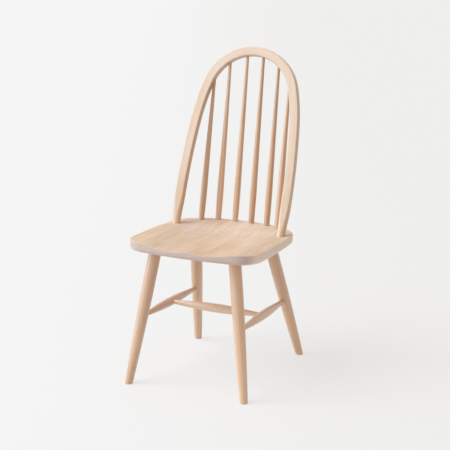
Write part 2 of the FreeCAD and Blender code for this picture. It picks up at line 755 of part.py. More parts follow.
for side, word in SIDES.items():
    joints = side_joints[side]
    for end, joint, far in ((-1, *joints), (1, *reversed(joints))):
        name = "leg_%s_%s" % (ENDS[end], word)
        pieces[name], socket = leg(name, side, end, joint, far)
        seat_sockets.append(socket)
    name = "side_stretcher_" + word
    ends = (cross_joints[side], cross_joints[-side])
    pieces[name] = side_stretcher(name, side, *joints, *ends)
    for place in SPINDLES:
        name = "spindle_%s_%s" % (place.lower(), word)
        pieces[name], seat_socket, bow_socket = spindle(name, place, side)
        seat_sockets.append(seat_socket)
        bow_sockets.append(bow_socket)

cross_reach = size("SideStretcherDiameter") / 2 + size("ShoulderMargin")
pieces["cross_stretcher"] = stretcher(
    "cross_stretcher",
    cross_joints[-1],
    cross_joints[1],
    cross_reach,
    cross_reach,
    "CrossStretcherDiameter",
)
pieces["bow"] = cut("bow", bow_blank(), bow_sockets)
pieces["seat"] = seat(seat_sockets)
doc.recompute()

for item in doc.Objects:
    if "Invalid" in item.State or "Error" in item.State:
        raise RuntimeError("%s did not build: %s" % (item.Name, item.State))
os.makedirs("parts", exist_ok=True)
for name, piece in pieces.items():
    shape = piece.Shape
    if shape.isNull() or not shape.isValid() or len(shape.Solids) != 1:
        raise RuntimeError("%s is not one valid solid" % name)
    piece.Label = name
    shape.exportStep("parts/%s.step" % name)
    print(name, round(shape.Volume), len(shape.Faces))
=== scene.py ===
"""Looks for a hoop-back dining chair in pale solid wood: a grained finish on every piece, laid
along the way that its wood runs, and a plain pale studio with soft light from the left.

Lengths are in metres. The chair stands on z = 0 and faces -Y.
"""
import math

import bpy
from bpy.props import FloatProperty, FloatVectorProperty, PointerProperty
from bpy.types import Operator, Panel, PropertyGroup
from mathutils import Matrix, Vector


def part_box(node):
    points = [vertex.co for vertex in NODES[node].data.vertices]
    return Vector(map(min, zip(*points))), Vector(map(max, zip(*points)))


bl_info = {
    "name": "Hoop-back chair",
    "version": (1, 0, 0),
    "blender": (4, 5, 0),
    "location": "3D View > Sidebar > Chair",
    "description": "Wood finishes and a studio for a hoop-back dining chair",
    "category": "Object",
}

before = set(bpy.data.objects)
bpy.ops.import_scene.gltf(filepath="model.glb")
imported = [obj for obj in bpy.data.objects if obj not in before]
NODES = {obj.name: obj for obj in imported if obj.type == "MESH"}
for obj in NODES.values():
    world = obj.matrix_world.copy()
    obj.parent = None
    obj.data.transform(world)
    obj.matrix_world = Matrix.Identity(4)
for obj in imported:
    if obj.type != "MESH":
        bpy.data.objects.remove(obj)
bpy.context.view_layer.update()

SIDES = ("left", "right")
LEGS = [f"leg_{end}_{side}" for end in ("front", "rear") for side in SIDES]
STRETCHERS = [f"side_stretcher_{side}" for side in SIDES] + ["cross_stretcher"]
SPINDLES = [f"spindle_{place}_{side}" for place in ("inner", "middle", "outer") for side in SIDES]


# Settings


def colour_property(name, description, default):
    """A colour that the user may change."""
    return FloatVectorProperty(
        name=name, description=description, default=default, size=3, min=0, max=1, subtype="COLOR"
    )


def length_property(name, description, default):
    """A length in metres that the user may change."""
    return FloatProperty(
        name=name, description=description, default=default, min=0,
        subtype="DISTANCE", unit="LENGTH",
    )


def share_property(name, description, default):
    """A share from nothing to all that the user may change."""
    return FloatProperty(
        name=name, description=description, default=default, min=0, max=1, subtype="FACTOR"
    )


def strength_property(name, description, default):
    """A strength of light that the user may change."""
    return FloatProperty(name=name, description=description, default=default, min=0)


def angle_property(name, description, default):
    """An angle, given in degrees, that the user may change."""
    return FloatProperty(
        name=name, description=description, default=math.radians(default), min=0, max=math.pi,
        subtype="ANGLE", unit="ROTATION",
    )


class WoodProperties(PropertyGroup):
    """Colours of the wood, the size and strength of its figure, and its clear finish."""

    seat_pale: colour_property("Seat, pale wood", "Early wood of the seat", (0.89, 0.69, 0.565))
    seat_deep: colour_property("Seat, deep wood", "Late wood of the seat", (0.72, 0.485, 0.355))
    seat_patch: colour_property(
        "Seat, patches", "Cast of the yellower wood in places", (0.955, 0.89, 0.76)
    )
    # Painted light: the seat's right side is made paler, standing in for the light bounced onto it
    painted_side_light: colour_property(
        "Sapwood", "Palest wood, along the seat's right side", (1.0, 0.845, 0.725)
    )
    # Painted light: the bow's pale wood is paler than the turned wood, standing in for the light
    # and sheen on the bow's face
    bow_pale_and_painted_light: colour_property("Bow, pale wood", "Early wood of the bow", (0.806, 0.58, 0.43))
    bow_deep: colour_property("Bow, deep wood", "Late wood of the bow", (0.678, 0.447, 0.28))
    bow_patch: colour_property(
        "Bow, patches", "Cast of the pinker wood in places", (1.0, 0.965, 0.965)
    )
    turned_pale: colour_property(
        "Turned, pale wood", "Early wood of a turned piece", (0.755, 0.455, 0.272)
    )
    turned_deep: colour_property(
        "Turned, deep wood", "Late wood of a turned piece", (0.585, 0.315, 0.16)
    )
    turned_patch: colour_property(
        "Turned, patches", "Cast of the greyer wood in places", (0.93, 0.935, 0.975)
    )
    end_grain: colour_property("End grain", "Edge cut across the grain", (0.62, 0.475, 0.43))
    ring_spacing: length_property("Ring spacing", "Width of one year's growth", 0.0034)
    ring_strength: share_property("Rings", "Strength of the growth rings", 0.28)
    fibre_strength: share_property("Fibres", "Strength of the fine streaks along the grain", 0.45)
    fleck_strength: share_property("Flecks", "Strength of the short dark ray flecks", 0.35)
    relief: length_property("Relief", "Depth of the open grain", 0.00006)
    satin: share_property("Roughness", "Roughness of the clear satin finish", 0.38)
    gloss: share_property("Gloss", "Strength of the satin finish's reflection", 0.9)
    coat: share_property("Coat", "Strength of the clear coat on the turned pieces", 1.0)
    bow_coat: share_property("Bow coat", "Strength of the thinner clear coat on the bow", 0.3)
    seat_coat: share_property("Seat coat", "Strength of the worn clear coat on the seat", 0.05)
    seat_gloss: share_property("Seat gloss", "Strength of the worn seat's reflection", 0.3)
    seat_satin: share_property("Seat roughness", "Roughness of the worn seat", 0.55)
    coat_index: FloatProperty(
        name="Coat index", description="Refractive index of the clear coat", default=1.6,
        min=1, max=3,
    )
    haze: share_property("Haze", "Pale haze of the soaped surface, strongest at a slant", 0.15)
    haze_spread: share_property("Haze spread", "How far the haze reaches in from the slant", 0.5)


class StudioProperties(PropertyGroup):
    """The floor and the light."""

    floor_lit: colour_property(
        "Floor, lit side", "Floor and backdrop on the left", (0.93, 0.917, 0.92)
    )
    floor_far: colour_property(
        "Floor, far side", "Floor and backdrop on the right", (0.882, 0.865, 0.853)
    )
    floor_reach: length_property(
        "Floor reach", "Where the floor stops lighting the chair fully", 0.9
    )
    floor_fade: length_property(
        "Floor fade", "Width over which one floor colour meets the other", 1.6
    )
    floor_lift: share_property(
        "Floor lift", "Share of the floor that shows at its own colour", 0.7
    )
    ambient: strength_property("Ambient", "Strength of the even light all round", 0.56)
    ambient_colour: colour_property(
        "Ambient colour", "Warmth of the even light", (1.0, 0.895, 0.78)
    )
    ambient_far: share_property(
        "Far side", "Share of the even light that comes from the far side", 0.8
    )
    key_strength: strength_property("Key light", "Strength of the soft light from the left", 2.0)
    key_spread: angle_property("Key light spread", "Angle that the soft light fills", 45)
    key_colour: colour_property(
        "Key light colour", "Coolness of both lights from the left", (0.70, 0.885, 1.0)
    )
    edge_strength: strength_property(
        "Edge light", "Strength of the low light along the left edges", 1.15
    )
    edge_spread: angle_property("Edge light spread", "Angle that the low light fills", 30)


# Shader building


def feed(tree, value, socket):
    """Link a socket to another, or set it to a plain value."""
    if isinstance(value, bpy.types.NodeSocket):
        tree.links.new(value, socket)
    else:
        socket.default_value = value


def shader_node(tree, kind, inputs=(), **settings):
    """A node with these settings and, by name or number, these inputs."""
    node = tree.nodes.new(kind)
    for name, value in settings.items():
        setattr(node, name, value)
    for key, value in dict(inputs).items():
        feed(tree, value, node.inputs[key])
    return node


def compute(tree, operation, *values):
    """The result of a Math node."""
    node = shader_node(tree, "ShaderNodeMath", enumerate(values), operation=operation)
    return node.outputs["Value"]


def total(tree, value, *others):
    """The sum of several values."""
    for other in others:
        value = compute(tree, "ADD", value, other)
    return value


def centred(tree, value, size):
    """A value from 0 to 1 taken to between minus and plus half a size."""
    return compute(tree, "MULTIPLY", compute(tree, "SUBTRACT", value, 0.5), size)


def combine(tree, operation, *vectors):
    """The result of a Vector Math node that gives a vector."""
    node = shader_node(tree, "ShaderNodeVectorMath", enumerate(vectors), operation=operation)
    return node.outputs["Vector"]


def measure(tree, operation, *vectors):
    """The result of a Vector Math node that gives a number."""
    node = shader_node(tree, "ShaderNodeVectorMath", enumerate(vectors), operation=operation)
    return node.outputs["Value"]


def split(tree, vector):
    """The X, Y and Z of a vector, or the red, green and blue of a colour, by those letters."""
    return shader_node(tree, "ShaderNodeSeparateXYZ", {0: vector}).outputs


def join(tree, *values):
    """The vector with this X, Y and Z."""
    return shader_node(tree, "ShaderNodeCombineXYZ", enumerate(values)).outputs[0]


def remap(tree, value, low, high, new_low=0.0, new_high=1.0, smooth=True):
    """A value taken from one range to another, clamped at both ends."""
    node = shader_node(
        tree, "ShaderNodeMapRange", enumerate((value, low, high, new_low, new_high)),
        interpolation_type="SMOOTHSTEP" if smooth else "LINEAR",
    )
    return node.outputs[0]


def clamp(tree, value):
    """A value kept between 0 and 1."""
    return shader_node(tree, "ShaderNodeClamp", {"Value": value}).outputs[0]


def mix_colours(tree, share, first, second, blend="MIX"):
    """Two colours mixed by a share."""
    node = shader_node(tree, "ShaderNodeMix", data_type="RGBA", blend_type=blend)
    feed(tree, share, node.inputs["Factor"])
    colours = [socket for socket in node.inputs if socket.type == "RGBA"]
    for value, socket in zip((first, second), colours):
        feed(tree, value if isinstance(value, bpy.types.NodeSocket) else (*value, 1), socket)
    return next(socket for socket in node.outputs if socket.type == "RGBA")


def mix_shaders(tree, share, first, second):
    """Two shaders mixed by a share."""
    inputs = {0: share, 1: first, 2: second}
    return shader_node(tree, "ShaderNodeMixShader", inputs).outputs[0]


def noise(tree, place, stretch, detail=2.0, roughness=0.5, output="Fac"):
    """Noise from 0 to 1 whose features are finer along an axis the larger its stretch is."""
    node = shader_node(
        tree,
        "ShaderNodeTexNoise",
        {
            "Vector": combine(tree, "MULTIPLY", place, stretch),
            "Scale": 1,
            "Detail": detail,
            "Roughness": roughness,
        },
    )
    return node.outputs[output]


# Wood

# A stretch gives how fine a noise is across the grain, twice, and along it. A range gives the
# values of a noise, or of a cosine, over which a feature comes in. Tones and tints are added up,
# with 0 for pale wood and 1 for deep wood.
WANDER = 0.026
WANDER_STRETCH = (5, 5, 1.6)
UNEVEN_YEARS = 2.2
UNEVEN_SCALE = 90
LATE_WOOD_POWER = 2.6
LATE_WOOD_END = 0.93
BLOTCH_STRETCH = (11, 11, 3.2)
BLOTCH_RANGE = (0.3, 0.7)
BLOTCH_TONES = (-0.12, 0.44)
STREAK_STRETCH = (150, 150, 2.6)
STREAK_ROUGHNESS = 0.6
STREAK_RANGE = (0.3, 0.72)
STREAK_TONES = (-0.16, 0.44)
FIBRE_STRETCH = (1150, 1150, 17)
FIBRE_ROUGHNESS = 0.65
FIBRE_MIDDLE = 0.45
FLECK_STRETCH = (620, 620, 95)
FLECK_RANGE = (0.66, 0.78)
# How deep the features are, as shares of the relief
FIBRE_DEPTH = 0.7
FLECK_DEPTH = 0.5
RING_DEPTH = 0.25

PATCH_STRETCH = (13, 13, 4.5)
PATCH_RANGE = (0.35, 0.65)
# Painted shade on the sides of a piece: the facing over which it comes in
PAINTED_SHADE_RANGE = (0.3, 0.9)
# Painted light on the seat's right side: the facing over which it comes in, and how strong it is
PAINTED_SIDE_LIGHT_RANGE = (0.1, 0.6)
PAINTED_SIDE_LIGHT_SHARE = 0.85
END_GRAIN_RANGE = (0.35, 0.85)
PORE_STRETCH = (420, 420, 420)
PORE_RANGE = (0.5, 0.75)
PORE_SHARE = 0.3
STAIN_STRETCH = (70, 70, 160)
STAIN_RANGE = (0.35, 0.7)
STAIN_SHARE = 0.35
# How much rougher deep wood is than pale wood
ROUGHER = 0.1

# The share of a long piece's length at each end that its axis is found from
END_SHARE = 0.1


def wood_figure():
    """The node group that all the wood shares. Its vector has Z along the grain and the heart
    of the tree on the Z axis. It gives a tone, from pale to deep, and a height."""
    group = bpy.data.node_groups.get("Wood figure")
    if group:
        return group
    group = bpy.data.node_groups.new("Wood figure", "ShaderNodeTree")
    group.interface.new_socket("Vector", in_out="INPUT", socket_type="NodeSocketVector")
    for name in ("Ring spacing", "Rings", "Fibres", "Flecks"):
        group.interface.new_socket(name, in_out="INPUT", socket_type="NodeSocketFloat")
    for name in ("Tone", "Height"):
        group.interface.new_socket(name, in_out="OUTPUT", socket_type="NodeSocketFloat")
    given = group.nodes.new("NodeGroupInput").outputs
    place = given["Vector"]

    # Growth rings, as cylinders round the heart that wander along the trunk
    wander = noise(group, place, WANDER_STRETCH, detail=1.5, output="Color")
    shift = combine(group, "MULTIPLY", combine(group, "SUBTRACT", wander, (0.5, 0.5, 0.5)),
                    (WANDER, WANDER, 0))
    flat = combine(group, "MULTIPLY", combine(group, "ADD", place, shift), (1, 1, 0))
    radius = measure(group, "LENGTH", flat)
    uneven = shader_node(
        group, "ShaderNodeTexNoise", {"W": radius, "Scale": UNEVEN_SCALE, "Detail": 1},
        noise_dimensions="1D",
    ).outputs["Fac"]
    years = total(group, compute(group, "DIVIDE", radius, given["Ring spacing"]),
                  compute(group, "MULTIPLY", uneven, UNEVEN_YEARS))
    season = compute(group, "FRACT", years)
    ring = compute(group, "MULTIPLY", compute(group, "POWER", season, LATE_WOOD_POWER),
                   remap(group, season, LATE_WOOD_END, 1.0, 1.0, 0.0))

    # Streaks, fibres and flecks, all long and thin along the grain
    blotch = noise(group, place, BLOTCH_STRETCH)
    streak = noise(group, place, STREAK_STRETCH, detail=3, roughness=STREAK_ROUGHNESS)
    fibre = noise(group, place, FIBRE_STRETCH, roughness=FIBRE_ROUGHNESS)
    fleck = remap(group, noise(group, place, FLECK_STRETCH, detail=1), *FLECK_RANGE)

    above_middle = compute(group, "SUBTRACT", fibre, FIBRE_MIDDLE)
    tone = total(
        group,
        compute(group, "MULTIPLY", ring, given["Rings"]),
        remap(group, blotch, *BLOTCH_RANGE, *BLOTCH_TONES),
        remap(group, streak, *STREAK_RANGE, *STREAK_TONES),
        compute(group, "MULTIPLY", above_middle, given["Fibres"]),
        compute(group, "MULTIPLY", fleck, given["Flecks"]),
    )
    depth = total(
        group,
        compute(group, "MULTIPLY", fibre, FIBRE_DEPTH),
        compute(group, "MULTIPLY", fleck, FLECK_DEPTH),
        compute(group, "MULTIPLY", ring, RING_DEPTH),
    )
    result = group.nodes.new("NodeGroupOutput").inputs
    feed(group, clamp(group, tone), result["Tone"])
    feed(group, compute(group, "SUBTRACT", 1, depth), result["Height"])
    return group


def wood_material(name, colours, place_in_wood, finish, end_grain=None, edges=None, painted_side_light=None):
    """A wood.

    colours: pale wood, deep wood, and the cast that some patches have
    place_in_wood: builds, in the material's nodes, the vector that the figure reads, the noise
        that the patches follow, and how much deeper than its figure the wood is
    finish: strength of the clear coat, strength of the reflection, roughness
    end_grain: colour of the wood cut across, and the direction of the grain
    edges: direction that the piece faces, and how much deeper its edges are, as painted shade on
    the sides that turn away from the light
    sapwood: colour of the painted light that makes one side paler, and the direction of that side
    """
    wood = bpy.context.scene.chair_wood
    pale, deep, patch_cast = colours
    coat, gloss, satin = finish
    material = bpy.data.materials.new(name)
    material.use_nodes = True
    tree = material.node_tree
    shader = tree.nodes["Principled BSDF"]
    objects = shader_node(tree, "ShaderNodeTexCoord").outputs["Object"]
    normal = shader_node(tree, "ShaderNodeNewGeometry").outputs["Normal"]
    place, patches, tint = place_in_wood(tree, objects)
    figure = shader_node(tree, "ShaderNodeGroup", node_tree=wood_figure())
    for key, value in {
        "Vector": place, "Ring spacing": wood.ring_spacing, "Rings": wood.ring_strength,
        "Fibres": wood.fibre_strength, "Flecks": wood.fleck_strength,
    }.items():
        feed(tree, value, figure.inputs[key])

    tone = total(tree, figure.outputs["Tone"], tint)
    # Painted shade: the sides that turn away from this direction are made deeper, while the face
    # stays pale as if lit
    if edges:
        direction, deeper = edges
        facing = compute(tree, "ABSOLUTE", measure(tree, "DOT_PRODUCT", normal, direction))
        tone = total(tree, tone, remap(tree, facing, *PAINTED_SHADE_RANGE, deeper, 0.0))
    colour = mix_colours(tree, clamp(tree, tone), pale, deep)
    patchy = remap(tree, patches, *PATCH_RANGE)
    colour = mix_colours(tree, patchy, colour, patch_cast, blend="MULTIPLY")
    # Painted light: the side that faces this direction is made paler, as if lit by bounced light
    if painted_side_light:
        palest, direction = painted_side_light
        facing = measure(tree, "DOT_PRODUCT", normal, direction)
        share = remap(tree, facing, *PAINTED_SIDE_LIGHT_RANGE, 0.0, PAINTED_SIDE_LIGHT_SHARE)
        colour = mix_colours(tree, share, colour, palest)
    if end_grain:
        cut, direction = end_grain
        facing = compute(tree, "ABSOLUTE", measure(tree, "DOT_PRODUCT", normal, direction))
        pores = remap(tree, noise(tree, objects, PORE_STRETCH), *PORE_RANGE, 0.0, PORE_SHARE)
        stains = noise(tree, objects, STAIN_STRETCH, detail=3)
        stains = remap(tree, stains, *STAIN_RANGE, 0.0, STAIN_SHARE)
        mottled = mix_colours(tree, total(tree, pores, stains), cut, deep)
        colour = mix_colours(tree, remap(tree, facing, *END_GRAIN_RANGE), colour, mottled)
    rougher = compute(tree, "MULTIPLY", figure.outputs["Tone"], ROUGHER)
    bump = shader_node(
        tree, "ShaderNodeBump", {"Height": figure.outputs["Height"], "Distance": wood.relief}
    )
    for key, value in {
        "Base Color": colour, "Roughness": total(tree, rougher, satin),
        "Specular IOR Level": gloss, "Normal": bump.outputs["Normal"],
        "Coat Weight": coat, "Coat IOR": wood.coat_index, "Coat Roughness": satin,
        "Sheen Weight": wood.haze, "Sheen Roughness": wood.haze_spread,
    }.items():
        feed(tree, value, shader.inputs[key])
    return material


def dress(node, material):
    """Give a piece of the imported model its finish."""
    slots = NODES[node].data.materials
    slots.clear()
    slots.append(material)


def ends_of(node):
    """The two ends of a long piece's axis, each from the middle of its outermost part."""
    low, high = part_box(node)
    size = high - low
    axis = max(range(3), key=lambda number: size[number])
    margin = size[axis] * END_SHARE
    points = [vertex.co for vertex in NODES[node].data.vertices]
    ends = []
    for outermost in (
        [point for point in points if point[axis] < low[axis] + margin],
        [point for point in points if point[axis] > high[axis] - margin],
    ):
        least = Vector([min(point[number] for point in outermost) for number in range(3)])
        most = Vector([max(point[number] for point in outermost) for number in range(3)])
        ends.append((least + most) / 2)
    return ends


# Seat

SEAT_BOARDS = 5
# How high above the seat's underside the heart of a board's tree lies, and how much lower at most
BOARD_HEART_HEIGHT = 0.16
BOARD_HEART_DROP = 0.1
# How far aside the hearts lie at most between two boards, as a share of a board's width
BOARD_HEART_SHIFT = 1.2
# How far along the tree it is from one board to the next
BOARD_STEP = 1.7
# How much the boards differ in tone
BOARD_TINTS = 0.16
# Picks the boards that chance gives
BOARD_SEED = 4.5
SEAT_PATCH_STRETCH = (9, 9, 9)
# The seat's yellower patches lie more to the front right. The paler rear that they leave is
# painted sheen, standing in for the finish's reflection there
PATCH_AND_PAINTED_SHEEN_LEAN = Vector((0.35, -0.9, 0))
# Painted shade: the seat gets deeper towards the right, away from the lamps, and a little towards
# the front
PAINTED_SHADE_LEAN = Vector((0.6, -0.2, 0))


def seat_boards(tree, objects):
    """Places the seat in its wood: boards glued side by side, their grain from front to back,
    each cut from its own tree."""
    low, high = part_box("seat")
    width = (high.x - low.x) / SEAT_BOARDS
    along = split(tree, objects)
    across = compute(tree, "DIVIDE", compute(tree, "SUBTRACT", along["X"], low.x), width)
    number = compute(tree, "FLOOR", across)
    chance = shader_node(
        tree, "ShaderNodeTexWhiteNoise", {"W": compute(tree, "ADD", number, BOARD_SEED)},
        noise_dimensions="1D",
    ).outputs["Color"]
    chances = split(tree, chance)
    sideways = total(tree, centred(tree, compute(tree, "FRACT", across), width),
                     centred(tree, chances["X"], width * BOARD_HEART_SHIFT))
    drop = compute(tree, "MULTIPLY", chances["Y"], BOARD_HEART_DROP)
    above_heart = total(tree, along["Z"],
                        compute(tree, "SUBTRACT", drop, BOARD_HEART_HEIGHT + low.z))
    lengthwise = total(tree, along["Y"], compute(tree, "MULTIPLY", number, BOARD_STEP))
    vector = join(tree, sideways, above_heart, lengthwise)
    patches = noise(tree, objects, SEAT_PATCH_STRETCH, detail=3)
    # Yellower patches at random, leaning away from the rear, whose paleness is painted sheen
    patches = total(tree, patches, measure(tree, "DOT_PRODUCT", objects, PATCH_AND_PAINTED_SHEEN_LEAN))
    # Random tints of the boards, plus painted shade that deepens the seat towards the right
    tint = total(tree, centred(tree, chances["Z"], BOARD_TINTS),
                 measure(tree, "DOT_PRODUCT", objects, PAINTED_SHADE_LEAN))
    return vector, patches, tint


class CHAIR_OT_finish_seat(Operator):
    """Grain from front to back on boards glued side by side, greyer on the cut ends, and painted
    light that makes the right side paler"""

    bl_idname = "chair.finish_seat"
    bl_label = "Finish the seat"

    def execute(self, context):
        wood = context.scene.chair_wood
        material = wood_material(
            "Seat wood", (wood.seat_pale, wood.seat_deep, wood.seat_patch), seat_boards,
            (wood.seat_coat, wood.seat_gloss, wood.seat_satin),
            end_grain=(wood.end_grain, Vector((0, 1, 0))),
            # Painted light that makes the right side paler
            painted_side_light=(wood.painted_side_light, Vector((1, 0, 0))),
        )
        dress("seat", material)
        return {"FINISHED"}


# Bow

# Radius of the bend at the top
BOW_TOP_RADIUS = 0.146
# How far in front of the bow the heart of its tree lies
BOW_HEART = 0.12
# How far each leg of the bow spreads for each metre down
BOW_SPREAD = 0.1
# How much deeper than its figure the bow is
BOW_TINT = -0.06
# Painted shade: how much deeper the bow's edges are than its face, which keeps the pale wood as
# painted light
BOW_PAINTED_SHADE = 0.8
# How much deeper the bow gets towards its feet, over this part of the legs' length
FOOT_TINT = 0.42
FOOT_TINT_FROM = 0.2
FOOT_TINT_TO = 0.35


def bow_lean():
    """How far the bow leans back from upright."""
    low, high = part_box("bow")
    return math.atan2(high.y - low.y, high.z - low.z)


def bent_stock(tree, objects):
    """Places the bow in its wood: the grain follows the bend, round the top and down the legs."""
    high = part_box("bow")[1]
    lean = bow_lean()
    upwards = Vector((0, math.sin(lean), math.cos(lean)))
    springing = Vector((0, high.y, high.z)) - upwards * BOW_TOP_RADIUS
    mapping = shader_node(
        tree, "ShaderNodeMapping",
        {"Vector": objects, "Location": springing, "Rotation": (-lean, 0, 0)},
        vector_type="TEXTURE",
    )
    local = split(tree, mapping.outputs["Vector"])
    above = compute(tree, "MAXIMUM", local["Z"], 0.0)
    below = compute(tree, "MAXIMUM", compute(tree, "MULTIPLY", local["Z"], -1.0), 0.0)
    squares = total(tree, compute(tree, "POWER", above, 2.0),
                    compute(tree, "MULTIPLY", local["X"], local["X"]))
    across = compute(tree, "SUBTRACT", compute(tree, "SQRT", squares),
                     compute(tree, "MULTIPLY", below, BOW_SPREAD))
    angle = compute(tree, "ARCTAN2", local["X"], above)
    side = compute(tree, "SIGN", local["X"])
    length = total(tree, compute(tree, "MULTIPLY", angle, BOW_TOP_RADIUS),
                   compute(tree, "MULTIPLY", side, below))
    vector = join(tree, across, total(tree, local["Y"], BOW_HEART), length)
    foot_tint = remap(tree, below, FOOT_TINT_FROM, FOOT_TINT_TO, 0.0, FOOT_TINT)
    return vector, noise(tree, vector, PATCH_STRETCH), total(tree, foot_tint, BOW_TINT)


class CHAIR_OT_finish_bow(Operator):
    """Grain that follows the bend of the bow"""

    bl_idname = "chair.finish_bow"
    bl_label = "Finish the bow"

    def execute(self, context):
        wood = context.scene.chair_wood
        face = Vector((0, -math.cos(bow_lean()), math.sin(bow_lean())))
        # Painted light and shade: the face keeps the pale wood, and the sides turn deeper
        material = wood_material(
            "Bow wood", (wood.bow_pale_and_painted_light, wood.bow_deep, wood.bow_patch), bent_stock,
            (wood.bow_coat, wood.gloss, wood.satin), edges=(face, BOW_PAINTED_SHADE),
        )
        dress("bow", material)
        return {"FINISHED"}


# Turned pieces

# A piece's number sets how its billet is rolled, where its heart lies and how patchy it is
FIRST_LEG = 0
FIRST_STRETCHER = 5
FIRST_SPINDLE = 7
ROLL_STEP = math.radians(137.5)
# How far from the piece's axis the heart of its tree lies
HEARTS = (0.05, 0.063, 0.076, 0.089)
PATCHINESS = (0.7, 0.4, 0.6, 0.5)
# How much more patchy the stretchers and spindles are
STRETCHER_PATCHINESS = -0.15
SPINDLE_PATCHINESS = -0.25
# How much deeper than its figure each turned piece is
TINTS = {
    "leg_front_left": 0.2, "leg_front_right": 0.05,
    "leg_rear_left": 0.05, "leg_rear_right": -0.25,
    "side_stretcher_left": 0.75, "side_stretcher_right": 0.05, "cross_stretcher": 0.0,
    "spindle_inner_left": 0.05, "spindle_inner_right": 0.6,
    "spindle_middle_left": -0.1, "spindle_middle_right": 0.65,
    "spindle_outer_left": 0.6, "spindle_outer_right": 0.3,
}
# Given the bow's paler wood and thinner coat, and patchy all over. Its paleness is painted sheen,
# standing in for the light on its top
PALER_AS_PAINTED_SHEEN = ("cross_stretcher",)
PALER_PATCHINESS = 1.0


def billet(node, roll, heart, patchiness):
    """Places a turned piece in its wood: the grain runs along the piece, and the heart of the
    tree lies at this distance from its axis, in the direction that the roll gives."""
    start, end = ends_of(node)
    turn = (end - start).to_track_quat("Z", "Y") @ Matrix.Rotation(roll, 3, "Z").to_quaternion()
    centre = start + turn @ Vector((heart, 0, 0))

    def place(tree, objects):
        mapping = shader_node(
            tree, "ShaderNodeMapping",
            {"Vector": objects, "Location": centre, "Rotation": turn.to_euler()},
            vector_type="TEXTURE",
        )
        vector = mapping.outputs["Vector"]
        patches = total(tree, noise(tree, vector, PATCH_STRETCH), patchiness - 0.5)
        return vector, patches, TINTS[node]

    return place


def finish_turned(context, nodes, first, patchier=0.0):
    """Give each turned piece a billet of its own: another roll, heart, patchiness and tint."""
    wood = context.scene.chair_wood
    for number, node in enumerate(nodes, start=first):
        # Painted sheen: these pieces take the bow's paler colours
        if node in PALER_AS_PAINTED_SHEEN:
            colours, coat = (wood.bow_pale_and_painted_light, wood.bow_deep, wood.bow_patch), wood.bow_coat
            patchiness = PALER_PATCHINESS
        else:
            colours, coat = (wood.turned_pale, wood.turned_deep, wood.turned_patch), wood.coat
            patchiness = PATCHINESS[number % len(PATCHINESS)] + patchier
        heart = HEARTS[number % len(HEARTS)]
        start, end = ends_of(node)
        material = wood_material(
            node.replace("_", " ").capitalize() + " wood", colours,
            billet(node, ROLL_STEP * number, heart, patchiness),
            (coat, wood.gloss, wood.satin),
            end_grain=(wood.end_grain, (end - start).normalized()),
        )
        dress(node, material)


class CHAIR_OT_finish_legs(Operator):
    """Grain along each turned leg"""

    bl_idname = "chair.finish_legs"
    bl_label = "Finish the legs"

    def execute(self, context):
        finish_turned(context, LEGS, FIRST_LEG)
        return {"FINISHED"}


class CHAIR_OT_finish_stretchers(Operator):
    """Grain along each turned stretcher"""

    bl_idname = "chair.finish_stretchers"
    bl_label = "Finish the stretchers"

    def execute(self, context):
        finish_turned(context, STRETCHERS, FIRST_STRETCHER, patchier=STRETCHER_PATCHINESS)
        return {"FINISHED"}


class CHAIR_OT_finish_spindles(Operator):
    """Grain along each turned spindle"""

    bl_idname = "chair.finish_spindles"
    bl_label = "Finish the spindles"

    def execute(self, context):
        finish_turned(context, SPINDLES, FIRST_SPINDLE, patchier=SPINDLE_PATCHINESS)
        return {"FINISHED"}


# Studio

# Camera, as fitted to the view that the chair is shown from, with its lens in millimetres
CAMERA_AZIMUTH = math.radians(25.147)
CAMERA_ELEVATION = math.radians(15.893)
CAMERA_DISTANCE = 4.963
CAMERA_TARGET = Vector((0, -0.02845, 0.4439))
CAMERA_LENS = 133.2
CAMERA_SENSOR = 36
CAMERA_SHIFT = (0.0163, 0.0089)

# Key light, from the camera's left and high up
KEY_AZIMUTH = CAMERA_AZIMUTH - math.radians(80)
KEY_ELEVATION = math.radians(48)
# Low light, from the same side
EDGE_AZIMUTH = CAMERA_AZIMUTH - math.radians(86)
EDGE_ELEVATION = math.radians(10)

FLOOR_SIDE = 60
FLOOR_ROUGHNESS = 0.75
FLOOR_GLOSS = 0.2
# Share of its light that the floor throws back to the chair from further off
FAR_BOUNCE = 0.4


def view_direction(azimuth, elevation):
    """The direction from the chair towards a viewer, at azimuth 0 in front of it."""
    flat = math.cos(elevation)
    return Vector((flat * math.sin(azimuth), -flat * math.cos(azimuth), math.sin(elevation)))


def camera_right():
    """The level direction from left to right of the picture."""
    return Vector((math.cos(CAMERA_AZIMUTH), math.sin(CAMERA_AZIMUTH), 0))


def aim(item, place, target):
    """Put a lamp or camera at a place, looking at a target."""
    item.location = place
    item.rotation_euler = (target - place).to_track_quat("-Z", "Y").to_euler()


def seen_directly(tree):
    """1 for rays from the camera and for reflections, 0 for the light on the object."""
    rays = shader_node(tree, "ShaderNodeLightPath").outputs
    return compute(tree, "MAXIMUM", rays["Is Camera Ray"],
                   compute(tree, "MAXIMUM", rays["Is Glossy Ray"], rays["Is Transmission Ray"]))


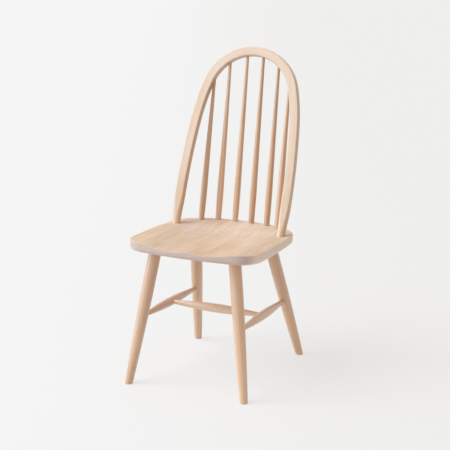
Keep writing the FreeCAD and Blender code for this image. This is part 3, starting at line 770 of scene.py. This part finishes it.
def floor_material(studio):
    """A pale floor that keeps the chair's shadow, lights the chair from below less from further
    off, and lets a view from below through."""
    material = bpy.data.materials.new("Pale floor")
    material.use_nodes = True
    tree = material.node_tree
    shader = tree.nodes["Principled BSDF"]
    direct = seen_directly(tree)
    place = shader_node(tree, "ShaderNodeTexCoord").outputs["Object"]
    across = measure(tree, "DOT_PRODUCT", place, camera_right())
    far_side = remap(tree, across, -studio.floor_fade / 2, studio.floor_fade / 2)
    colour = mix_colours(tree, far_side, studio.floor_lit, studio.floor_far)
    distance = measure(tree, "LENGTH", place)
    bounce = remap(tree, distance, studio.floor_reach, 2 * studio.floor_reach, 1.0, FAR_BOUNCE)
    bounce = compute(tree, "MAXIMUM", bounce, direct)
    feed(tree, mix_colours(tree, bounce, (0, 0, 0), colour), shader.inputs["Base Color"])
    shader.inputs["Roughness"].default_value = FLOOR_ROUGHNESS
    shader.inputs["Specular IOR Level"].default_value = FLOOR_GLOSS
    glow = shader_node(tree, "ShaderNodeEmission", {"Color": colour, "Strength": 1.0})
    lift = compute(tree, "MULTIPLY", direct, studio.floor_lift)
    lifted = mix_shaders(tree, lift, shader.outputs[0], glow.outputs[0])
    underside = shader_node(tree, "ShaderNodeNewGeometry").outputs["Backfacing"]
    clear = shader_node(tree, "ShaderNodeBsdfTransparent").outputs[0]
    surface = mix_shaders(tree, compute(tree, "MULTIPLY", underside, direct), lifted, clear)
    feed(tree, surface, tree.nodes["Material Output"].inputs["Surface"])
    return material


def even_light(studio):
    """A world that lights the chair from all round, a little less from the far side, and shows
    the floor's colour behind it."""
    world = bpy.data.worlds.new("Even light")
    world.use_nodes = True
    tree = world.node_tree
    near, far = (
        [channel * studio.ambient * share for channel in studio.ambient_colour]
        for share in (2 - studio.ambient_far, studio.ambient_far)
    )
    around = shader_node(tree, "ShaderNodeTexCoord").outputs["Generated"]
    across = measure(tree, "DOT_PRODUCT", around, camera_right())
    lit = mix_colours(tree, remap(tree, across, -1, 1, smooth=False), near, far)
    colour = mix_colours(tree, seen_directly(tree), lit, studio.floor_lit)
    feed(tree, colour, tree.nodes["Background"].inputs["Color"])
    return world


class CHAIR_OT_studio(Operator):
    """A pale floor, an even light all round with two soft lamps on the left, and a camera"""

    bl_idname = "chair.studio"
    bl_label = "Set up the studio"

    def execute(self, context):
        studio = context.scene.chair_studio
        self.floor(context, studio)
        self.lights(context, studio)
        self.camera(context)
        context.scene.view_settings.view_transform = "Standard"
        return {"FINISHED"}

    def floor(self, context, studio):
        """A wide pale floor that fills the view."""
        bpy.ops.mesh.primitive_plane_add(size=FLOOR_SIDE)
        floor = context.object
        floor.name = "Floor"
        floor.data.materials.append(floor_material(studio))

    def lights(self, context, studio):
        """An even light all round, and two soft lights from the left."""
        context.scene.world = even_light(studio)
        for name, strength, spread, azimuth, elevation in (
            ("Key light", studio.key_strength, studio.key_spread, KEY_AZIMUTH, KEY_ELEVATION),
            ("Edge light", studio.edge_strength, studio.edge_spread, EDGE_AZIMUTH, EDGE_ELEVATION),
        ):
            bpy.ops.object.light_add(type="SUN")
            lamp = context.object
            lamp.name = name
            lamp.data.angle = spread
            lamp.data.energy = strength
            lamp.data.color = studio.key_colour
            aim(lamp, CAMERA_TARGET + view_direction(azimuth, elevation), CAMERA_TARGET)

    def camera(self, context):
        """The camera that sees the chair as it is shown."""
        bpy.ops.object.camera_add()
        camera = context.object
        camera.name = "Camera"
        camera.data.sensor_width = CAMERA_SENSOR
        camera.data.lens = CAMERA_LENS
        camera.data.shift_x, camera.data.shift_y = CAMERA_SHIFT
        camera.data.clip_end = FLOOR_SIDE * 2
        direction = view_direction(CAMERA_AZIMUTH, CAMERA_ELEVATION)
        aim(camera, CAMERA_TARGET + direction * CAMERA_DISTANCE, CAMERA_TARGET)
        context.scene.camera = camera


# Add-on

OPERATORS = (
    CHAIR_OT_finish_seat,
    CHAIR_OT_finish_bow,
    CHAIR_OT_finish_legs,
    CHAIR_OT_finish_stretchers,
    CHAIR_OT_finish_spindles,
    CHAIR_OT_studio,
)


class CHAIR_PT_panel(Panel):
    """The chair's finishes and studio"""

    bl_idname = "CHAIR_PT_panel"
    bl_label = "Chair"
    bl_space_type = "VIEW_3D"
    bl_region_type = "UI"
    bl_category = "Chair"

    def draw(self, context):
        layout = self.layout
        for operator in OPERATORS:
            layout.operator(operator.bl_idname)
        for settings in (context.scene.chair_wood, context.scene.chair_studio):
            box = layout.box()
            for name in type(settings).__annotations__:
                box.prop(settings, name)


CLASSES = (WoodProperties, StudioProperties, *OPERATORS, CHAIR_PT_panel)


def register():
    """Make the settings, the operators and the panel known."""
    for entry in CLASSES:
        bpy.utils.register_class(entry)
    bpy.types.Scene.chair_wood = PointerProperty(type=WoodProperties)
    bpy.types.Scene.chair_studio = PointerProperty(type=StudioProperties)


def unregister():
    """Take back what register() did."""
    del bpy.types.Scene.chair_studio
    del bpy.types.Scene.chair_wood
    for entry in reversed(CLASSES):
        bpy.utils.unregister_class(entry)


def main():
    """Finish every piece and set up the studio."""
    register()
    bpy.ops.chair.finish_seat()
    bpy.ops.chair.finish_bow()
    bpy.ops.chair.finish_legs()
    bpy.ops.chair.finish_stretchers()
    bpy.ops.chair.finish_spindles()
    bpy.ops.chair.studio()


if __name__ == "__main__":
    main()
